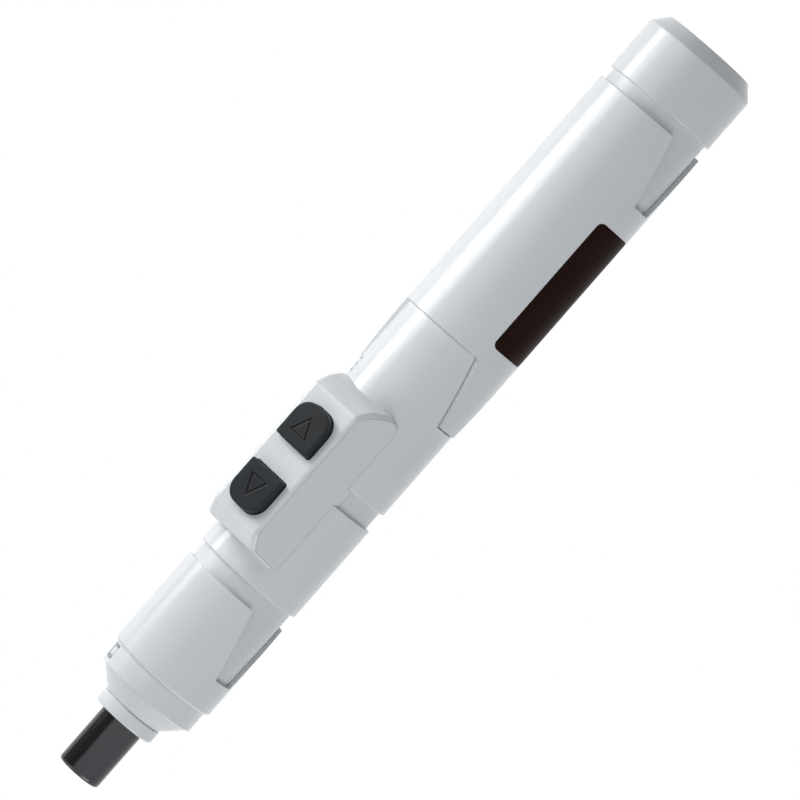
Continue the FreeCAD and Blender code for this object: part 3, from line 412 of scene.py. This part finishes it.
# The tail cap's seal is a moulded rubber ring that sits in a groove of the cap's spigot. It is
# black and matt, with a thin film of grease.
rubber = finish("seal_rubber", pale=(0.016, 0.016, 0.017), deep=(0.010, 0.010, 0.011), mottle=0.002,
                rough=(0.55, 0.7), grain=0.0002, depth=0.000008)
dress(rubber, "cap_seal")

# The contact spring is coiled from hard drawn wire, plated bright. Its ends are closed, and it
# stands on the contact plate in the tail cap and presses on the cell.
spring_wire = 0.0004
spring_radius = 0.0055
spring_turns = 5
spring_closed = 0.75
spring_sides = 14
turn_steps = 36
spring_low, spring_high = (corner.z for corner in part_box("contact_spring"))
first_height = spring_low + spring_wire
climb = spring_high - spring_low - 2 * spring_wire
closed_climb = spring_closed * 2 * spring_wire
open_pitch = (climb - 2 * closed_climb) / (spring_turns - 2 * spring_closed)
coil_path = []
for step in range(spring_turns * turn_steps + 1):
    turned = step / turn_steps
    low_part = min(turned, spring_closed)
    top_part = max(turned - spring_turns + spring_closed, 0)
    open_part = turned - low_part - top_part
    height = first_height + (low_part + top_part) * 2 * spring_wire + open_part * open_pitch
    coil_path.append(round_the_axis(spring_radius, 2 * math.pi * turned, height))
spring_skin = bmesh.new()
add_wire(spring_skin, coil_path, spring_wire, spring_sides, closed=False)
spring = piece_of("tail_spring", spring_skin, nickel)
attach(spring, "tail_cap")
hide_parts("contact_spring")

# The floor is a plain white sheet below the tool, far enough down for the tail cap to come off.
# It is seen as white, and keeps the tool's soft shadow.
floor_height = -0.0315
floor_half = 30.0
floor_grey = 0.42
floor_glow = 1.21
glow_share = 0.8
floor_mesh = bpy.data.meshes.new("floor")
floor_mesh.from_pydata([(-floor_half, -floor_half, floor_height), (floor_half, -floor_half, floor_height),
                        (floor_half, floor_half, floor_height), (-floor_half, floor_half, floor_height)],
                       [], [(0, 1, 2, 3)])
floor = bpy.data.objects.new("floor", floor_mesh)
bpy.context.scene.collection.objects.link(floor)


def seen_as_white(tree, lit, white):
    """Mixes what lights the object with plain white, for camera, glossy and see-through rays."""
    ray = tree.nodes.new("ShaderNodeLightPath")
    either = tree.nodes.new("ShaderNodeMath")
    either.operation = "MAXIMUM"
    tree.links.new(ray.outputs["Is Camera Ray"], either.inputs[0])
    tree.links.new(ray.outputs["Is Glossy Ray"], either.inputs[1])
    any_ray = tree.nodes.new("ShaderNodeMath")
    any_ray.operation = "MAXIMUM"
    tree.links.new(either.outputs["Value"], any_ray.inputs[0])
    tree.links.new(ray.outputs["Is Transmission Ray"], any_ray.inputs[1])
    choice = tree.nodes.new("ShaderNodeMixShader")
    tree.links.new(any_ray.outputs["Value"], choice.inputs["Fac"])
    tree.links.new(lit, choice.inputs[1])
    tree.links.new(white, choice.inputs[2])
    return choice.outputs["Shader"]


paper = bpy.data.materials.new("floor_paper")
paper.use_nodes = True
paper.node_tree.nodes.clear()
matt = paper.node_tree.nodes.new("ShaderNodeBsdfDiffuse")
matt.inputs["Color"].default_value = (floor_grey, floor_grey, floor_grey, 1)
glow = paper.node_tree.nodes.new("ShaderNodeEmission")
glow.inputs["Strength"].default_value = floor_glow
shadowed = paper.node_tree.nodes.new("ShaderNodeMixShader")
shadowed.inputs["Fac"].default_value = glow_share
paper.node_tree.links.new(matt.outputs["BSDF"], shadowed.inputs[1])
paper.node_tree.links.new(glow.outputs["Emission"], shadowed.inputs[2])
sheet_out = paper.node_tree.nodes.new("ShaderNodeOutputMaterial")
paper.node_tree.links.new(seen_as_white(paper.node_tree, matt.outputs["BSDF"], shadowed.outputs["Shader"]),
                          sheet_out.inputs["Surface"])
floor_mesh.materials.append(paper)

# The studio is a white surround with soft boxes round the tool. Their turn is from the camera's
# side towards the buttons.
ambient_colour = (0.97, 0.985, 1.0)
ambient_strength = 0.41
surround_strength = 1.0
studio = bpy.data.worlds.new("studio")
bpy.context.scene.world = studio
studio.use_nodes = True
studio.node_tree.nodes.clear()
ambient = studio.node_tree.nodes.new("ShaderNodeBackground")
ambient.inputs["Color"].default_value = (*ambient_colour, 1)
ambient.inputs["Strength"].default_value = ambient_strength
surround = studio.node_tree.nodes.new("ShaderNodeBackground")
surround.inputs["Color"].default_value = (1, 1, 1, 1)
surround.inputs["Strength"].default_value = surround_strength
studio_out = studio.node_tree.nodes.new("ShaderNodeOutputWorld")
studio.node_tree.links.new(seen_as_white(studio.node_tree, ambient.outputs["Background"],
                                         surround.outputs["Background"]), studio_out.inputs["Surface"])
camera_azimuth = math.radians(236.43)


def softbox(name, turn, distance, height, aim, size, watts, mirrored=True):
    """A soft box at a turn in degrees, aimed at a height on the tool's axis."""
    lamp = bpy.data.lights.new(name, "AREA")
    lamp.shape = "RECTANGLE"
    lamp.size, lamp.size_y = size
    lamp.energy = watts
    box = bpy.data.objects.new(name, lamp)
    box.visible_glossy = mirrored
    box.location = round_the_axis(distance, camera_azimuth + math.radians(turn), height)
    box.rotation_euler = (box.location - Vector((0, 0, aim))).to_track_quat("Z", "Y").to_euler()
    bpy.context.scene.collection.objects.link(box)


softbox("key_strip", turn=94, distance=0.55, height=0.075, aim=0.075, size=(0.15, 0.206), watts=1.25)
softbox("button_side_box", turn=84, distance=0.75, height=0.045, aim=0.06, size=(0.42, 0.14), watts=1.15)
softbox("high_box", turn=52, distance=0.45, height=0.52, aim=0.13, size=(0.3, 0.3), watts=0.3)
softbox("floor_box", turn=48, distance=0.3, height=-0.018, aim=3.0, size=(0.3, 0.2), watts=0.48)
softbox("tip_box", turn=-50, distance=0.5, height=0.52, aim=0.12, size=(0.4, 0.4), watts=1.45)
softbox("rim_box", turn=125, distance=0.8, height=0.10, aim=0.0934, size=(0.4, 0.25), watts=0.15)
softbox("back_box", turn=-155, distance=0.6, height=0.10, aim=0.0934, size=(0.4, 0.4), watts=1.1,
        mirrored=False)

# A grey card stands behind the key strip and above the button side box, out of the picture. The
# buttons and the bit holder are dark enough to mirror it, and it keeps them black on that side.
card_radius = 0.62
card_low = 0.125
card_high = 0.33
card_first = 36
card_last = 114
card_step = 6
card_skin = bmesh.new()
card_edge = None
for degrees in range(card_first, card_last + 1, card_step):
    angle = camera_azimuth + math.radians(degrees)
    low_corner = card_skin.verts.new(round_the_axis(card_radius, angle, card_low))
    high_corner = card_skin.verts.new(round_the_axis(card_radius, angle, card_high))
    if card_edge:
        card_skin.faces.new((card_edge[0], low_corner, high_corner, card_edge[1]))
    card_edge = (low_corner, high_corner)
card_paper = finish("card_paper", pale=(0.26, 0.26, 0.26), deep=(0.24, 0.24, 0.24), mottle=0.02,
                    rough=(0.8, 0.9), grain=0.002, depth=0.00002, specular=0.1)
card = piece_of("grey_card", card_skin, card_paper)
card.visible_camera = False

# The camera stands to the label's side of the buttons, level with the lower third of the
# tool, and is turned so that the tool lies from the lower left to the upper right.
camera_rise = math.radians(-1.78)
camera_roll = math.radians(221.17)
camera_distance = 1.2
camera_aside = 0.00055
camera_height = 0.09335
camera_lens = 269.5
camera_sensor = 36.0
level_side = Vector((-math.sin(camera_azimuth), math.cos(camera_azimuth), 0))
back = Vector((math.cos(camera_rise) * math.cos(camera_azimuth),
               math.cos(camera_rise) * math.sin(camera_azimuth),
               math.sin(camera_rise)))
right = level_side * math.cos(camera_roll) + back.cross(level_side) * math.sin(camera_roll)
up = back.cross(right)
camera_data = bpy.data.cameras.new("camera")
camera_data.lens = camera_lens
camera_data.sensor_width = camera_sensor
camera = bpy.data.objects.new("camera", camera_data)
bpy.context.scene.collection.objects.link(camera)
facing = Matrix((right, up, back)).transposed().to_4x4()
camera.matrix_world = Matrix.Translation(level_side * camera_aside + Vector((0, 0, camera_height))
                                         + back * camera_distance) @ facing
bpy.context.scene.camera = camera
bpy.context.scene.view_settings.view_transform = "Standard"
